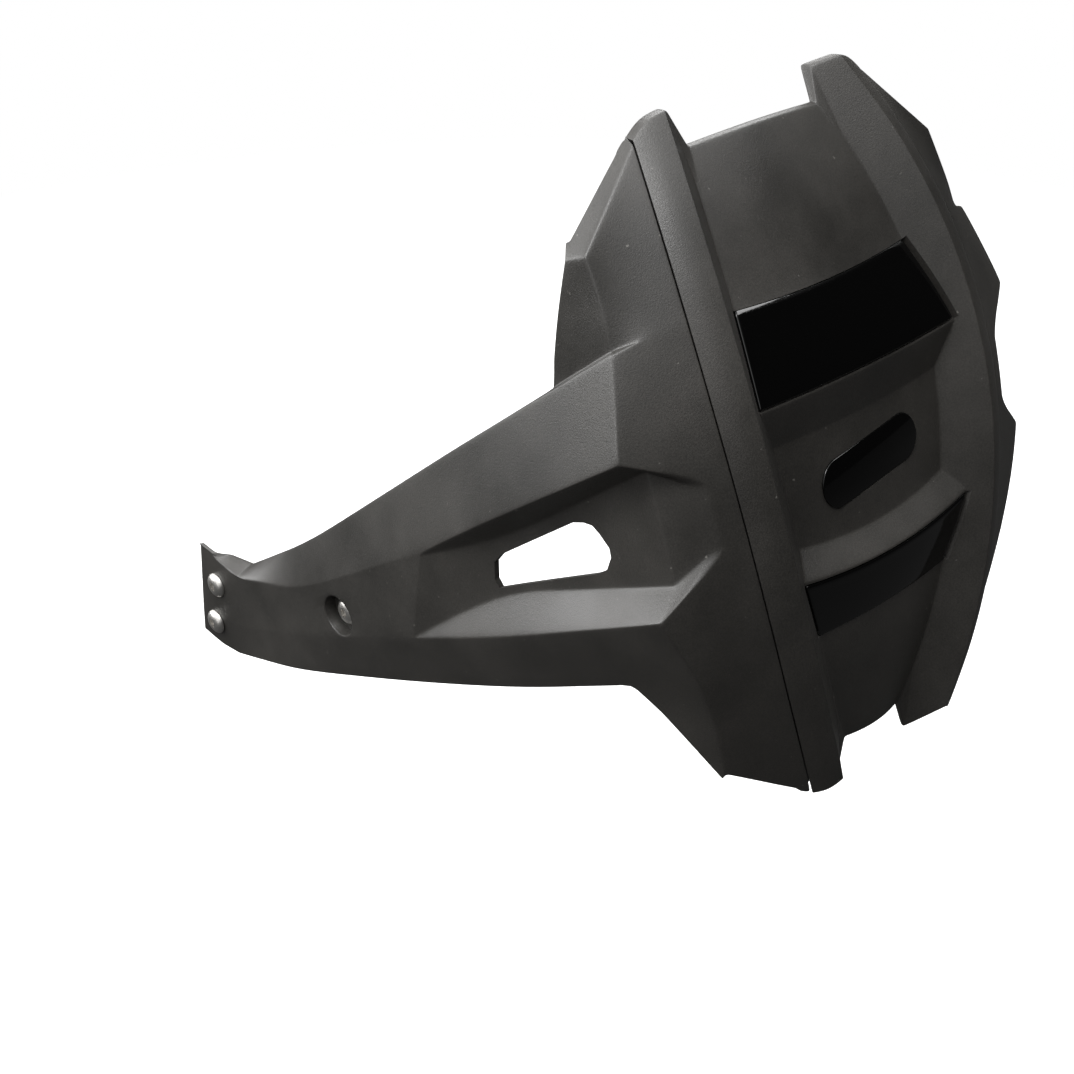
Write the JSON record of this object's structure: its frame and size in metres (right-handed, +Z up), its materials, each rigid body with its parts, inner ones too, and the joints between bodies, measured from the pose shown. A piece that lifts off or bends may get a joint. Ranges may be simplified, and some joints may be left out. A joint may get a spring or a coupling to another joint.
{
  "type": "rear hugger mudguard",
  "caption": "Rear hugger mudguard in textured plastic: a louvred centre panel with gloss inlays between two wings, one running forward as a windowed arm to a bolted bracket.",
  "frame": {"origin": "middle of the two bolt holes, on the inner face of the mounting bracket, where it meets the bike", "axes": "+X the bike's right and along the bolts, +Y the bike's forward, +Z up, as the mudguard sits on a bike"},
  "size_m": [0.2452, 0.3719, 0.3439],
  "materials": {
    "moulded_plastic": "fine moulded grain, charcoal",
    "gloss_black": "polished black",
    "stainless": "plain stainless",
    "zinc_steel": "zinc plated"
  },
  "bodies": {
    "root": {"centre_panel": "moulded_plastic", "left_wing_arm": "moulded_plastic", "right_wing": "moulded_plastic", "upper_inlay": "gloss_black", "lower_inlay": "gloss_black", "centre_badge": "gloss_black", "mounting_bracket": "zinc_steel", "arm_screw_upper": "stainless", "arm_screw_lower": "stainless", "arm_screw_rear": "stainless", "arm_sleeves": "zinc_steel", "weld_nuts": "zinc_steel", "left_joint_screws": "stainless", "right_joint_screws": "stainless"}
  },
  "joints": []
}
